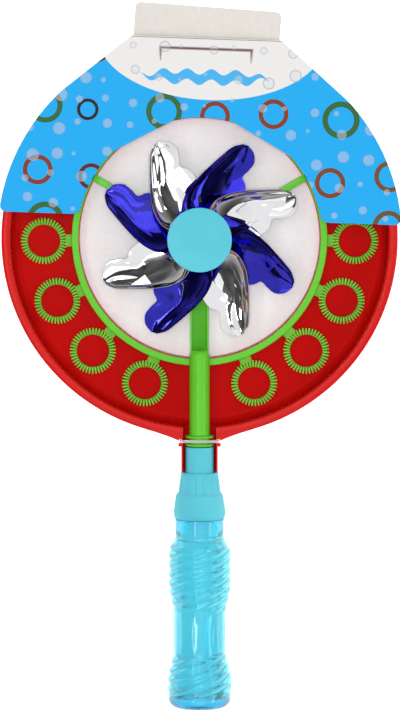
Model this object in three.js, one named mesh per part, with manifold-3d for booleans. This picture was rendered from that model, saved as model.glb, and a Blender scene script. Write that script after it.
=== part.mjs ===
// Bubble windmill: a ring-shaped dipping tray, a wand of bubble loops with a foil pinwheel,
// a bottle of solution as the handle, and a folded header card.
// It lies on its back: +X right, +Y towards the hang tab, +Z up out of the front. Millimetres.
import * as THREE from "three";
import { mergeVertices } from "three/addons/utils/BufferGeometryUtils.js";
import Module from "manifold-3d";

const wasm = await Module();
wasm.setup();

// General
const GAP = 0.3;
const TURN = 2 * Math.PI;
const DEGREE = Math.PI / 180;

// Header card
const CARD = 0.6;
const CARD_SKEW = -2 * DEGREE;
const CARD_MARGIN = 2.5;
const CARD_OVERHANG = 0.8;
const CARD_TOP_WIDTH = 94;
const CARD_SHOULDER_ANGLE = 45 * DEGREE;
const CARD_LEG_END = 13;
const CARD_WINDOW_MARGIN = 1.4;
const CARD_WINDOW_DROP = 0.8;
const CARD_WINDOW_TOP_ANGLE = 76 * DEGREE;
const CARD_WINDOW_CORNER_ANGLE = 44 * DEGREE;
const CARD_CORNER = 5;
const CARD_BACK_INSET = 4.5;
const CARD_BACK_BELOW = 8;
const TAB_WIDTH = 91;
const TAB_HEIGHT = 20;
const TAB_SKEW = -2.2 * DEGREE;
const TAB_CORNER = 4;
const TONGUE_WIDTH = 56;
const TONGUE_HEIGHT = 8;
const TONGUE_INSET = 6;
const TONGUE_SLIT = 0.8;

// Tray
const TRAY_RADIUS = 122.5;
const TRAY_HEIGHT = 23;
const TRAY_WALL = 1.6;
const TRAY_FOOT = 3;
const TRAY_FOOT_INSET = 9.5;
const TROUGH_WIDTH = 47.9;
const TRAY_WALL_LEAN = 0.5;
const RIM_WIDTH = 5.6;
const RIM_DROP = 4;
const FLOOR_FILLET = 1;

// Neck cradle on the tray
const CRADLE_INNER = 10.2;
const CRADLE_WALL = 1.1;
const CRADLE_LENGTH = 22.3;
const CRADLE_EAR = 1.9;
const CRADLE_EAR_LENGTH = 1.8;
const CRADLE_EAR_PLACE = 4.4;
const CRADLE_EAR_HEIGHT = 7;
const CRADLE_FAIRING = 18;
const CRADLE_FAIRING_DROP = 1.4;

// Wand ring, spokes and loops
const RING_CLEARANCE = 0.5;
const RING_SETBACK = 0.5;
const RING_WIDTH = 4.1;
const RING_HEIGHT = 8.4;
const BAR_WIDTH = 11.4;
const BAR_FLANGE = 1.1;
const BAR_FLOOR = 1;
const SPOKE_WIDTH = 4.4;
const SPOKE_HEIGHT = 2.4;
const SPOKE_ANGLES = [30 * DEGREE, 150 * DEGREE];
const BOSS_RADIUS = 9;
const BOSS_RISE = 1.2;
const LOOP_COUNT = 15;
const LOOP_CLEARANCE = 4.3;
const LOOP_FIRST_ANGLE = 20.6 * DEGREE;
const LOOP_INNER = 10.1;
const LOOP_ROOT = 12.5;
const LOOP_TIP = 14.4;
const LOOP_RIBS = 24;
const LOOP_HEIGHT = 3.6;
const LOOP_TAB_WIDTH = 7.5;

// Wand stem
const STEM_RADIUS = 6.3;
const STEM_LEAD = 6.3;
const STEM_NOSE = 4;
const COLLAR_RADIUS = 9;
const COLLAR_THICKNESS = 2.2;
const COLLAR_OFFSETS = [0.9, -4.1];
const PLUG_RADIUS = 5.6;
const PLUG_LENGTH = 20;

// Retaining strap
const STRAP_WIDTH = 1.8;
const STRAP_THICKNESS = 0.8;
const STRAP_DROP = 12;

// Screw cap of the handle
const SLEEVE_RADIUS = 8.8;
const SLEEVE_LENGTH = 15.9;
const CONE_TOP_RADIUS = 11.7;
const CONE_END_RADIUS = 13.2;
const CONE_LENGTH = 12.6;
const CAP_RIBS = 14;
const CAP_GROOVE_SHARE = 0.03;
const CAP_RIB_RUNOUT = 0.6;
const SKIRT_TOP_RADIUS = 14.6;
const SKIRT_RADIUS = 16.3;
const SKIRT_END_RADIUS = 15.2;
const SKIRT_LENGTH = 16.4;
const SKIRT_CHAMFER = 4;
const SKIRT_WALL = 2;
const CAP_BULKHEAD = 2;
const LINER = 1;

// Bottle
const BOTTLE_WALL = 1;
const BOTTLE_LENGTH = 117.9;
const BOTTLE_NECK_RADIUS = 15.2;
const BOTTLE_BULGE_RADIUS = 19;
const BOTTLE_WAIST_RADIUS = 16.1;
const BOTTLE_FLARE_RADIUS = 19.6;
const BOTTLE_BASE_CORNER = 7;
const BOTTLE_FINISH_RADIUS = 10.2;
const RIDGE = 0.5;
const RIDGE_STARTS = 7;
const RIDGE_LEAD = 42;
const RIDGE_FADE = 6;
const RIDGE_ROW = 2.9;

// Radius of the bottle at shares of its length, from the cap down.
const BOTTLE_OUTLINE = [
  [0, BOTTLE_NECK_RADIUS],
  [0.09, BOTTLE_NECK_RADIUS],
  [0.17, BOTTLE_BULGE_RADIUS],
  [0.34, BOTTLE_BULGE_RADIUS],
  [0.51, BOTTLE_WAIST_RADIUS],
  [0.7, BOTTLE_WAIST_RADIUS],
  [0.86, BOTTLE_FLARE_RADIUS],
  [1, BOTTLE_FLARE_RADIUS],
];

// Shares of the bottle's length where twisted ridges stand, and where its inside is measured.
const RIDGED = [
  [0.11, 0.5],
  [0.715, 0.94],
];
const HOLLOW_STATIONS = [0.1, 0.15, 0.24, 0.34, 0.46, 0.7, 0.8, 0.87, 0.94];

// Pinwheel
const WASHER_RADIUS = 4;
const WASHER = 1;
const AXLE_RADIUS = 1.5;
const AXLE_CLEARANCE = 0.2;
const AXLE_HEAD_RADIUS = 3;
const AXLE_HEAD = 1.2;
const HUB_PLATE = 1.6;
const HUB_PLATE_RADIUS = 18;
const HUB_BARREL_RADIUS = 7.5;
const HUB_POCKET_RADIUS = 4.6;
const EAR_PLACE_RADIUS = 21.5;
const EAR_RADIUS = 5;
const EAR_LAG = 30 * DEGREE;
const PEG_RADIUS = 1.2;
const PEG_HEIGHT = 1.3;
const CAP_DISC_RADIUS = 19.9;
const CAP_DISC = 2.2;
const CAP_DISC_EDGE = 0.7;
const BLADE_PAIRS = 4;
const BLADE_TIP_ANGLE = 63 * DEGREE;
const SILVER_LEAD = 5 * DEGREE;
const BLADE_SHEET = 0.4;
const BLADE_RISE = 12.4;
const BLADE_TIP_RISE = 2.4;
const BLADE_CURL = 75 * DEGREE;
const BLADE_ROWS = 11;
const BLADE_COLUMNS = 4;

// Edges of a blade in plan: x runs out to its tip and y to its raised edge.
const BLADE_LOW_EDGE = [
  [17, -10.6],
  [33, -12.6],
  [41.5, -10.8],
  [46, -6.4],
  [51, -7.8],
  [57, -8.8],
  [62.4, -5.8],
  [65, -0.6],
];
const BLADE_HIGH_EDGE = [
  [10.5, 13],
  [18, 18],
  [27, 19],
  [36, 17.2],
  [44, 14.4],
  [53, 10.8],
  [60, 7.4],
  [64.3, 2.6],
];

// Sides of round forms, and segments of a quarter or an open arc
const TRAY_SIDES = 48;
const RING_SIDES = 120;
const CARD_SEGMENTS = 8;
const CRADLE_SEGMENTS = 16;
const DISC_SIDES = 32;
const BOSS_SIDES = 28;
const SHAFT_SIDES = 20;
const PIN_SIDES = 16;
const EAR_SIDES = 10;
const PEG_SIDES = 6;
const LOOP_HOLE_SIDES = 18;
const BOTTLE_SIDES = 3 * RIDGE_STARTS;
const NOSE_BENDS = [0.25, 0.6, 1];
const BASE_BENDS = [0.5, 1];

// Heights above the surface it lies on
const trayBase = CARD + GAP;
const trayFloor = trayBase + TRAY_FOOT + TRAY_WALL;
const rimTop = trayBase + TRAY_HEIGHT;
const wandBase = trayFloor + GAP;
const ringTop = wandBase + RING_HEIGHT;
const spokeBase = ringTop - SPOKE_HEIGHT;
const innerWallTop = spokeBase - GAP;
const axisHeight = BOTTLE_FLARE_RADIUS + RIDGE;
const cardFrontBase = rimTop + GAP;
const cardFrontTop = cardFrontBase + CARD;
const bossTop = ringTop + BOSS_RISE;
const washerBase = bossTop + GAP;
const hubBase = washerBase + WASHER + GAP;
const earTop = hubBase + HUB_PLATE;
const bladeBase = earTop + GAP + BLADE_SHEET / 2;
const capDiscBase = bladeBase + BLADE_RISE + BLADE_SHEET / 2 + GAP;
const axleTop = capDiscBase - 2 * AXLE_HEAD;
const axleFoot = spokeBase + SPOKE_HEIGHT / 4;

// Radii across the tray and the card
const trayHoleRadius = TRAY_RADIUS - TROUGH_WIDTH;
const trayFootRadius = TRAY_RADIUS - TRAY_FOOT_INSET;
const wallFootRadius = TRAY_RADIUS - RIM_WIDTH - TRAY_WALL_LEAN;
const ringInner = trayHoleRadius + RING_SETBACK;
const ringOuter = ringInner + RING_WIDTH;
const loopPlaceRadius = wallFootRadius - FLOOR_FILLET - LOOP_TIP - LOOP_CLEARANCE;
const cardRadius = TRAY_RADIUS + CARD_MARGIN;
const cardBackRadius = TRAY_RADIUS - CARD_BACK_INSET;
const cardWindowRadius = trayHoleRadius + CARD_WINDOW_MARGIN;
const cardWindowTop = cardWindowRadius - CARD_WINDOW_DROP;
const cardBackEnd = -cardWindowRadius - CARD_BACK_BELOW;
const foldPlace = TRAY_RADIUS + CARD_OVERHANG;

// Places along the wand, from the ring's centre down to the bottle's base
const stemStart = STEM_LEAD - ringInner;
const cradleStart = -TRAY_RADIUS;
const collarPlaces = COLLAR_OFFSETS.map((offset) => cradleStart + offset);
const collarEnd = collarPlaces[1] - COLLAR_THICKNESS;
const sleeveTop = collarEnd - GAP;
const coneTop = sleeveTop - SLEEVE_LENGTH;
const skirtTop = coneTop - CONE_LENGTH;
const capEnd = skirtTop - SKIRT_LENGTH;
const plugEnd = collarEnd - PLUG_LENGTH;
const capBulkhead = plugEnd - GAP - CAP_BULKHEAD;
const linerEnd = capBulkhead - GAP - LINER;
const bottleTop = capEnd - GAP;
const bottleEnd = bottleTop - BOTTLE_LENGTH;
const finishTop = linerEnd - GAP;

// Joining, cutting and placing
function solidOf(geometry) {
  const bare = geometry.clone();
  bare.deleteAttribute("normal");
  bare.deleteAttribute("uv");
  const merged = mergeVertices(bare, 1e-4);
  const mesh = new wasm.Mesh({
    numProp: 3,
    vertProperties: merged.attributes.position.array,
    triVerts: new Uint32Array(merged.index.array),
  });
  return new wasm.Manifold(mesh);
}

function geometryOf(solid) {
  const mesh = solid.getMesh();
  const geometry = new THREE.BufferGeometry();
  geometry.setAttribute("position", new THREE.BufferAttribute(mesh.vertProperties, 3));
  geometry.setIndex(new THREE.BufferAttribute(mesh.triVerts, 1));
  geometry.computeVertexNormals();
  return geometry;
}

function joined(first, ...others) {
  return geometryOf(others.reduce((sum, other) => sum.add(solidOf(other)), solidOf(first)));
}

function cut(first, ...others) {
  return geometryOf(others.reduce((rest, other) => rest.subtract(solidOf(other)), solidOf(first)));
}

// A flat shape raised from one height to another.
function slab(shape, low, high, curveSegments = CARD_SEGMENTS) {
  const settings = { depth: high - low, bevelEnabled: false, curveSegments };
  return new THREE.ExtrudeGeometry(shape, settings).translate(0, 0, low);
}

function box(xLow, xHigh, yLow, yHigh, zLow, zHigh) {
  const geometry = new THREE.BoxGeometry(xHigh - xLow, yHigh - yLow, zHigh - zLow);
  return geometry.translate((xLow + xHigh) / 2, (yLow + yHigh) / 2, (zLow + zHigh) / 2);
}

// An upright cylinder round Z.
function upright(radius, low, high, sides = PIN_SIDES) {
  const geometry = new THREE.CylinderGeometry(radius, radius, high - low, sides);
  return geometry.rotateX(Math.PI / 2).translate(0, 0, (low + high) / 2);
}

function polar(radius, angle) {
  return new THREE.Vector2(radius * Math.cos(angle), radius * Math.sin(angle));
}

function shapeOf(points) {
  return new THREE.Shape(points.map(([x, y]) => new THREE.Vector2(x, y)));
}

function circle(radius, x = 0, y = 0) {
  const path = new THREE.Shape();
  path.absarc(x, y, radius, 0, TURN, false);
  return path;
}

// A profile of radius and height turned round Z.
function turnedUpright(profile, sides) {
  const points = profile.map(([radius, height]) => new THREE.Vector2(radius, height));
  return new THREE.LatheGeometry(points, sides).rotateX(Math.PI / 2);
}

// A closed skin through rings on the wand's axis. Each ring has its place along Y and
// a radius for each side; the first and last ring shrink to a point.
function ringSkin(rings, sides) {
  const positions = [];
  const faces = [];
  for (const { place, radius, phase = 0 } of rings) {
    for (let side = 0; side < sides; side++) {
      const angle = (TURN * side) / sides + phase;
      const length = radius(side);
      positions.push(length * Math.sin(angle), place, axisHeight + length * Math.cos(angle));
    }
  }
  const last = (rings.length - 1) * sides;
  for (let row = 0; row < last; row += sides) {
    for (let side = 0; side < sides; side++) {
      const next = (side + 1) % sides;
      const corners = [row + side, row + next, row + sides + next, row + sides + side];
      if (row > 0) faces.push(corners[0], corners[2], corners[1]);
      if (row + sides < last) faces.push(corners[0], corners[3], corners[2]);
    }
  }
  const geometry = new THREE.BufferGeometry();
  geometry.setAttribute("position", new THREE.Float32BufferAttribute(positions, 3));
  geometry.setIndex(faces);
  return geometry;
}

function plainRing(place, radius) {
  return { place, radius: () => radius };
}

// Tray
function trayBody() {
  const wallHead = TRAY_RADIUS - RIM_WIDTH;
  const holeWall = trayHoleRadius + TRAY_WALL;
  const floorUnder = trayFloor - TRAY_WALL;
  const rimUnder = rimTop - TRAY_WALL;
  const profile = [
    [trayHoleRadius, trayBase],
    [holeWall, trayBase],
    [holeWall, floorUnder],
    [trayFootRadius - TRAY_WALL, floorUnder],
    [trayFootRadius - TRAY_WALL, trayBase],
    [trayFootRadius, trayBase],
    [trayFootRadius, floorUnder],
    [wallFootRadius, floorUnder],
    [wallFootRadius + TRAY_WALL, trayFloor],
    [wallHead + TRAY_WALL, rimUnder],
    [TRAY_RADIUS - TRAY_WALL, rimUnder],
    [TRAY_RADIUS - TRAY_WALL, rimTop - RIM_DROP],
    [TRAY_RADIUS, rimTop - RIM_DROP],
    [TRAY_RADIUS, rimTop - TRAY_WALL],
    [TRAY_RADIUS - TRAY_WALL, rimTop],
    [wallHead + TRAY_WALL / 2, rimTop],
    [wallHead, rimUnder],
    [wallFootRadius, trayFloor + FLOOR_FILLET],
    [wallFootRadius - FLOOR_FILLET, trayFloor],
    [holeWall, trayFloor],
    [holeWall, innerWallTop],
    [trayHoleRadius, innerWallTop],
    [trayHoleRadius, trayBase],
  ];
  return turnedUpright(profile, TRAY_SIDES);
}

// A channel with a half-round bottom, open upwards, as a shape of x and height.
function channelShape(halfWidth, top) {
  const shape = new THREE.Shape();
  shape.moveTo(-halfWidth, top);
  shape.lineTo(-halfWidth, axisHeight);
  shape.absarc(0, axisHeight, halfWidth, Math.PI, TURN, false);
  shape.lineTo(halfWidth, top);
  shape.closePath();
  return shape;
}

// A shape of x and height drawn along Y.
function along(shape, yLow, yHigh) {
  const settings = { depth: yHigh - yLow, bevelEnabled: false, curveSegments: CRADLE_SEGMENTS };
  return new THREE.ExtrudeGeometry(shape, settings).rotateX(Math.PI / 2).translate(0, yHigh, 0);
}

function tray() {
  const cradleOuter = CRADLE_INNER + CRADLE_WALL;
  const cradleEnd = cradleStart - CRADLE_LENGTH;
  const wallTop = rimTop - GAP;
  const outer = along(channelShape(cradleOuter, wallTop), cradleEnd, -wallFootRadius - TRAY_WALL);
  const innerShape = channelShape(CRADLE_INNER, rimTop + TRAY_WALL);
  const inner = along(innerShape, cradleEnd - GAP, RIM_WIDTH - wallFootRadius);
  const earEnd = cradleStart - CRADLE_EAR_PLACE;
  const ears = box(
    -cradleOuter - CRADLE_EAR,
    cradleOuter + CRADLE_EAR,
    earEnd - CRADLE_EAR_LENGTH,
    earEnd,
    wallTop - CRADLE_EAR_HEIGHT,
    wallTop,
  );
  const fairingTip = cradleOuter + CRADLE_EAR / 2;
  const fairingFar = fairingTip + CRADLE_FAIRING;
  const fairingRoot = -Math.sqrt(TRAY_RADIUS ** 2 - fairingFar ** 2);
  const fairing = shapeOf([
    [-fairingFar, fairingRoot],
    [-fairingTip, cradleStart - CRADLE_FAIRING_DROP],
    [fairingTip, cradleStart - CRADLE_FAIRING_DROP],
    [fairingFar, fairingRoot],
  ]);
  const body = joined(trayBody(), outer, ears, slab(fairing, rimTop - RIM_DROP, rimTop - GAP));
  return cut(body, inner);
}

// Header card
function cornerCurve(shape, corner, end) {
  shape.quadraticCurveTo(corner.x, corner.y, end.x, end.y);
}

// One leg's end: from the outer arc round two rounded corners to the inner arc, on the right side.
function legPoints(side) {
  const outerAngle = Math.asin(CARD_LEG_END / cardRadius);
  const innerAngle = Math.asin(CARD_LEG_END / cardWindowRadius);
  const outerCorner = polar(cardRadius, outerAngle);
  const innerCorner = polar(cardWindowRadius, innerAngle);
  const points = {
    outerStart: outerAngle + CARD_CORNER / cardRadius,
    outerCorner,
    outerEnd: new THREE.Vector2(outerCorner.x - CARD_CORNER, outerCorner.y),
    innerStart: new THREE.Vector2(innerCorner.x + CARD_CORNER, innerCorner.y),
    innerCorner,
    innerEnd: innerAngle + CARD_CORNER / cardWindowRadius,
  };
  for (const name of ["outerCorner", "outerEnd", "innerStart", "innerCorner"]) {
    points[name].x *= side;
  }
  return points;
}

function cardFrontShape() {
  const right = legPoints(1);
  const left = legPoints(-1);
  const innerRight = polar(cardWindowRadius, right.innerEnd);
  const outerLeft = polar(cardRadius, Math.PI - left.outerStart);
  const shape = new THREE.Shape();
  shape.moveTo(CARD_TOP_WIDTH / 2, foldPlace);
  shape.lineTo(-CARD_TOP_WIDTH / 2, foldPlace);
  shape.absarc(0, 0, cardRadius, Math.PI - CARD_SHOULDER_ANGLE, Math.PI - left.outerStart, false);
  shape.lineTo(outerLeft.x, outerLeft.y);
  cornerCurve(shape, left.outerCorner, left.outerEnd);
  shape.lineTo(left.innerStart.x, left.innerStart.y);
  cornerCurve(shape, left.innerCorner, polar(cardWindowRadius, Math.PI - left.innerEnd));
  shape.absarc(0, 0, cardWindowRadius, Math.PI - left.innerEnd, Math.PI - CARD_WINDOW_CORNER_ANGLE, true);
  shape.absarc(0, 0, cardWindowTop, Math.PI - CARD_WINDOW_TOP_ANGLE, CARD_WINDOW_TOP_ANGLE, true);
  shape.absarc(0, 0, cardWindowRadius, CARD_WINDOW_CORNER_ANGLE, right.innerEnd, true);
  shape.lineTo(innerRight.x, innerRight.y);
  cornerCurve(shape, right.innerCorner, right.innerStart);
  shape.lineTo(right.outerEnd.x, right.outerEnd.y);
  cornerCurve(shape, right.outerCorner, polar(cardRadius, right.outerStart));
  shape.absarc(0, 0, cardRadius, right.outerStart, CARD_SHOULDER_ANGLE, false);
  shape.closePath();
  return shape;
}

function cardFront() {
  const tongueTop = foldPlace - TONGUE_INSET;
  const tongueFoot = tongueTop - TONGUE_HEIGHT;
  const half = TONGUE_WIDTH / 2;
  const slit = shapeOf([
    [-half, tongueFoot],
    [-half, tongueTop],
    [half, tongueTop],
    [half, tongueFoot],
    [half - TONGUE_SLIT, tongueFoot],
    [half - TONGUE_SLIT, tongueTop - TONGUE_SLIT],
    [TONGUE_SLIT - half, tongueTop - TONGUE_SLIT],
    [TONGUE_SLIT - half, tongueFoot],
  ]);
  const panel = slab(cardFrontShape(), cardFrontBase, cardFrontTop);
  return cut(panel, slab(slit, cardFrontBase - GAP, cardFrontTop + GAP));
}

function cardBack() {
  const roofNear = foldPlace + GAP;
  const roofFar = roofNear + CARD;
  const tabTop = foldPlace + TAB_HEIGHT;
  const tabHalf = TAB_WIDTH / 2;
  const tabRoot = new THREE.Vector2(0, roofFar);
  const tabPoint = (x, y) => new THREE.Vector2(x, y).rotateAround(tabRoot, TAB_SKEW);
  const startAngle = Math.asin(cardBackEnd / cardBackRadius);
  const topAngle = Math.acos(CARD_TOP_WIDTH / 2 / cardBackRadius);
  const shape = new THREE.Shape();
  shape.absarc(0, 0, cardBackRadius, startAngle, topAngle, false);
  shape.lineTo(CARD_TOP_WIDTH / 2, roofFar);
  shape.lineTo(tabHalf, roofFar);
  const corners = [tabPoint(tabHalf, tabTop), tabPoint(-tabHalf, tabTop)];
  const besides = [tabPoint(tabHalf, tabTop - TAB_CORNER), tabPoint(TAB_CORNER - tabHalf, tabTop)];
  const beyond = [tabPoint(tabHalf - TAB_CORNER, tabTop), tabPoint(-tabHalf, tabTop - TAB_CORNER)];
  for (const end of [0, 1]) {
    shape.lineTo(besides[end].x, besides[end].y);
    cornerCurve(shape, corners[end], beyond[end]);
  }
  shape.lineTo(-tabHalf, roofFar);
  shape.lineTo(-CARD_TOP_WIDTH / 2, roofFar);
  shape.absarc(0, 0, cardBackRadius, Math.PI - topAngle, Math.PI - startAngle, false);
  shape.closePath();
  const roofTop = cardFrontTop - CARD / 4;
  const roof = box(-CARD_TOP_WIDTH / 2, CARD_TOP_WIDTH / 2, roofNear, roofFar, CARD / 2, roofTop);
  return joined(slab(shape, 0, CARD), roof);
}

// Wand
function wandStem() {
  const rings = [plainRing(stemStart, 0)];
  for (const bend of NOSE_BENDS) {
    const angle = (bend * Math.PI) / 2;
    const place = stemStart - STEM_NOSE * (1 - Math.cos(angle));
    rings.push(plainRing(place, STEM_RADIUS - STEM_NOSE * (1 - Math.sin(angle))));
  }
  for (const place of collarPlaces) {
    const crest = COLLAR_THICKNESS / 4;
    rings.push(plainRing(place, STEM_RADIUS));
    rings.push(plainRing(place - crest, COLLAR_RADIUS));
    rings.push(plainRing(place - COLLAR_THICKNESS + crest, COLLAR_RADIUS));
    rings.push(plainRing(place - COLLAR_THICKNESS, STEM_RADIUS));
  }
  rings.push(plainRing(collarEnd - GAP, PLUG_RADIUS));
  rings.push(plainRing(plugEnd, PLUG_RADIUS));
  rings.push(plainRing(plugEnd, 0));
  return ringSkin(rings, SHAFT_SIDES);
}

function wandFrame() {
  const webInner = trayHoleRadius + TRAY_WALL + RING_CLEARANCE;
  const ringProfile = [
    [ringInner, spokeBase],
    [webInner, spokeBase],
    [webInner, wandBase],
    [ringOuter, wandBase],
    [ringOuter, ringTop],
    [ringInner, ringTop],
    [ringInner, spokeBase],
  ];
  const reach = ringInner + RING_WIDTH / 2;
  const spokes = SPOKE_ANGLES.map((angle) => {
    const spoke = box(0, reach, -SPOKE_WIDTH / 2, SPOKE_WIDTH / 2, spokeBase, ringTop);
    return spoke.rotateZ(angle);
  });
  const barHalf = BAR_WIDTH / 2;
  const bar = box(-barHalf, barHalf, -reach, 0, spokeBase, ringTop);
  const troughHalf = barHalf - BAR_FLANGE;
  const troughFloor = spokeBase + BAR_FLOOR;
  const trough = box(-troughHalf, troughHalf, -ringInner, -BOSS_RADIUS, troughFloor, ringTop + GAP);
  const postHalf = STEM_RADIUS / 2;
  const postStart = stemStart - STEM_NOSE;
  const post = box(-postHalf, postHalf, -reach, postStart, spokeBase, axisHeight);
  const boss = upright(BOSS_RADIUS, spokeBase, bossTop, BOSS_SIDES);
  const ring = turnedUpright(ringProfile, RING_SIDES / 2);
  const frame = joined(ring, ...spokes, cut(bar, trough), post, boss, wandStem());
  const axleHole = upright(AXLE_RADIUS + AXLE_CLEARANCE, axleFoot, bossTop + GAP);
  return cut(frame, axleHole);
}

// A loop lies on the X axis with its tab towards the ring.
function bubbleLoop() {
  const rim = new THREE.Shape();
  for (let point = 0; point < 2 * LOOP_RIBS; point++) {
    const radius = point % 2 ? LOOP_ROOT : LOOP_TIP;
    const { x, y } = polar(radius, (TURN * (point + 0.5)) / (2 * LOOP_RIBS));
    if (point) rim.lineTo(loopPlaceRadius + x, y);
    else rim.moveTo(loopPlaceRadius + x, y);
  }
  rim.holes.push(circle(LOOP_INNER, loopPlaceRadius));
  const tabEnd = loopPlaceRadius - (LOOP_INNER + LOOP_ROOT) / 2;
  const tabHalf = LOOP_TAB_WIDTH / 2;
  const tab = box(ringInner, tabEnd, -tabHalf, tabHalf, wandBase, wandBase + LOOP_HEIGHT);
  const ring = upright(ringOuter + GAP, wandBase - GAP, ringTop, RING_SIDES);
  const loop = slab(rim, wandBase, wandBase + LOOP_HEIGHT, LOOP_HOLE_SIDES / 2);
  return cut(joined(loop, tab), ring);
}

// Strap over the neck, with a leg down the outside of each cradle wall
function retainingStrap() {
  const legInner = CRADLE_INNER + CRADLE_WALL + GAP;
  const legOuter = legInner + STRAP_THICKNESS;
  const under = axisHeight + STEM_RADIUS + GAP;
  const top = under + STRAP_THICKNESS;
  const foot = top - STRAP_DROP;
  const shape = shapeOf([
    [-legOuter, foot],
    [-legInner, foot],
    [-legInner, under],
    [legInner, under],
    [legInner, foot],
    [legOuter, foot],
    [legOuter, top],
    [-legOuter, top],
  ]);
  const middle = (collarPlaces[0] - COLLAR_THICKNESS + collarPlaces[1]) / 2;
  return along(shape, middle - STRAP_WIDTH / 2, middle + STRAP_WIDTH / 2);
}

// Handle: screw cap, sealing disc, bottle and solution
function ribbedRing(place, radius) {
  return { place, radius: (side) => radius * (side % 2 ? 1 - CAP_GROOVE_SHARE : 1) };
}

function handleCap() {
  const bore = PLUG_RADIUS + GAP;
  const skirtBore = BOTTLE_FINISH_RADIUS + GAP;
  const ribTop = coneTop - CONE_LENGTH / 4;
  const ribRadius = CONE_TOP_RADIUS + (CONE_END_RADIUS - CONE_TOP_RADIUS) / 4;
  const outer = [
    plainRing(capBulkhead + CAP_BULKHEAD, 0),
    plainRing(capBulkhead + CAP_BULKHEAD, bore),
    plainRing(sleeveTop, bore),
    plainRing(sleeveTop, SLEEVE_RADIUS),
    plainRing(coneTop, SLEEVE_RADIUS),
    plainRing(coneTop, CONE_TOP_RADIUS),
    plainRing(ribTop, ribRadius),
    ribbedRing(ribTop - CAP_RIB_RUNOUT, ribRadius),
    ribbedRing(skirtTop, CONE_END_RADIUS),
    plainRing(skirtTop - SKIRT_WALL, SKIRT_TOP_RADIUS),
    plainRing(capEnd + SKIRT_CHAMFER, SKIRT_RADIUS),
    plainRing(capEnd, SKIRT_END_RADIUS),
  ];
  const skirtRoof = skirtTop - 2 * SKIRT_WALL;
  const inner = [
    plainRing(capEnd, SKIRT_END_RADIUS - SKIRT_WALL),
    plainRing(skirtRoof, SKIRT_TOP_RADIUS - SKIRT_WALL),
    plainRing(skirtRoof, skirtBore),
    plainRing(capBulkhead, skirtBore),
    plainRing(capBulkhead, 0),
  ];
  return ringSkin([...outer, ...inner], 2 * CAP_RIBS);
}

function capLiner() {
  const rings = [
    plainRing(linerEnd + LINER, 0),
    plainRing(linerEnd + LINER, BOTTLE_FINISH_RADIUS),
    plainRing(linerEnd, BOTTLE_FINISH_RADIUS),
    plainRing(linerEnd, 0),
  ];
  return ringSkin(rings, SHAFT_SIDES);
}

// Radius of the bottle and height of its ridges at a depth below its visible top
function bottleRadius(depth) {
  const share = depth / BOTTLE_LENGTH;
  const next = Math.max(
    1,
    BOTTLE_OUTLINE.findIndex(([station]) => station >= share),
  );
  const [from, fromRadius] = BOTTLE_OUTLINE[next - 1];
  const [to, toRadius] = BOTTLE_OUTLINE[next];
  return fromRadius + (toRadius - fromRadius) * THREE.MathUtils.smoothstep(share, from, to);
}

function ridgeHeight(depth) {
  const heights = RIDGED.map((shares) => {
    const [start, end] = shares.map((share) => share * BOTTLE_LENGTH);
    const rise = THREE.MathUtils.smoothstep(depth, start, start + RIDGE_FADE);
    const fall = 1 - THREE.MathUtils.smoothstep(depth, end - RIDGE_FADE, end);
    return RIDGE * Math.min(rise, fall);
  });
  return Math.max(...heights);
}

function bottleRing(depth) {
  const mean = bottleRadius(depth);
  const ridge = ridgeHeight(depth);
  return {
    place: bottleTop - depth,
    phase: (-TURN * depth) / RIDGE_LEAD,
    radius: (side) => mean + ridge * Math.cos((TURN * RIDGE_STARTS * side) / BOTTLE_SIDES),
  };
}

function bottle() {
  const bore = BOTTLE_FINISH_RADIUS - 2 * BOTTLE_WALL;
  const cornerStart = BOTTLE_LENGTH - BOTTLE_BASE_CORNER;
  const rings = [
    ...hollowRings(BOTTLE_WALL).reverse(),
    plainRing(bottleTop, bore),
    plainRing(finishTop, bore),
    plainRing(finishTop, BOTTLE_FINISH_RADIUS),
    plainRing(bottleTop, BOTTLE_FINISH_RADIUS),
  ];
  const rows = Math.round(cornerStart / RIDGE_ROW);
  for (let row = 0; row <= rows; row++) {
    rings.push(bottleRing((cornerStart * row) / rows));
  }
  for (const bend of BASE_BENDS) {
    const angle = (bend * Math.PI) / 2;
    const drop = BOTTLE_BASE_CORNER * Math.sin(angle);
    const shrink = BOTTLE_BASE_CORNER * (1 - Math.cos(angle));
    const ring = bottleRing(cornerStart);
    rings.push({ ...ring, place: ring.place - drop, radius: () => BOTTLE_FLARE_RADIUS - shrink });
  }
  rings.push(plainRing(bottleEnd, 0));
  return ringSkin(rings, BOTTLE_SIDES);
}

// The inside of the bottle, from its shoulder down, set in from its ridges
function hollowRings(inset) {
  const rings = HOLLOW_STATIONS.map((share) => {
    const depth = share * BOTTLE_LENGTH;
    return plainRing(bottleTop - depth, bottleRadius(depth) - RIDGE - inset);
  });
  const floor = bottleEnd + inset + BOTTLE_WALL;
  rings.push(plainRing(floor, BOTTLE_FLARE_RADIUS - BOTTLE_BASE_CORNER - inset));
  rings.push(plainRing(floor, 0));
  return rings;
}

function bubbleSolution() {
  const rings = hollowRings(BOTTLE_WALL + GAP);
  const surface = plainRing(rings[0].place, 0);
  return ringSkin([surface, ...rings], BOTTLE_SIDES);
}

// Pinwheel
function rotorAxle() {
  const shank = upright(AXLE_RADIUS, axleFoot + GAP, axleTop - AXLE_HEAD / 2);
  return joined(shank, upright(AXLE_HEAD_RADIUS, axleTop - AXLE_HEAD, axleTop));
}

function rotorWasher() {
  const shape = circle(WASHER_RADIUS);
  shape.holes.push(circle(AXLE_RADIUS + AXLE_CLEARANCE));
  return slab(shape, washerBase, washerBase + WASHER);
}

function bladeAngle(index) {
  return BLADE_TIP_ANGLE + (TURN * index) / (2 * BLADE_PAIRS) + (index % 2) * SILVER_LEAD;
}

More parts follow.
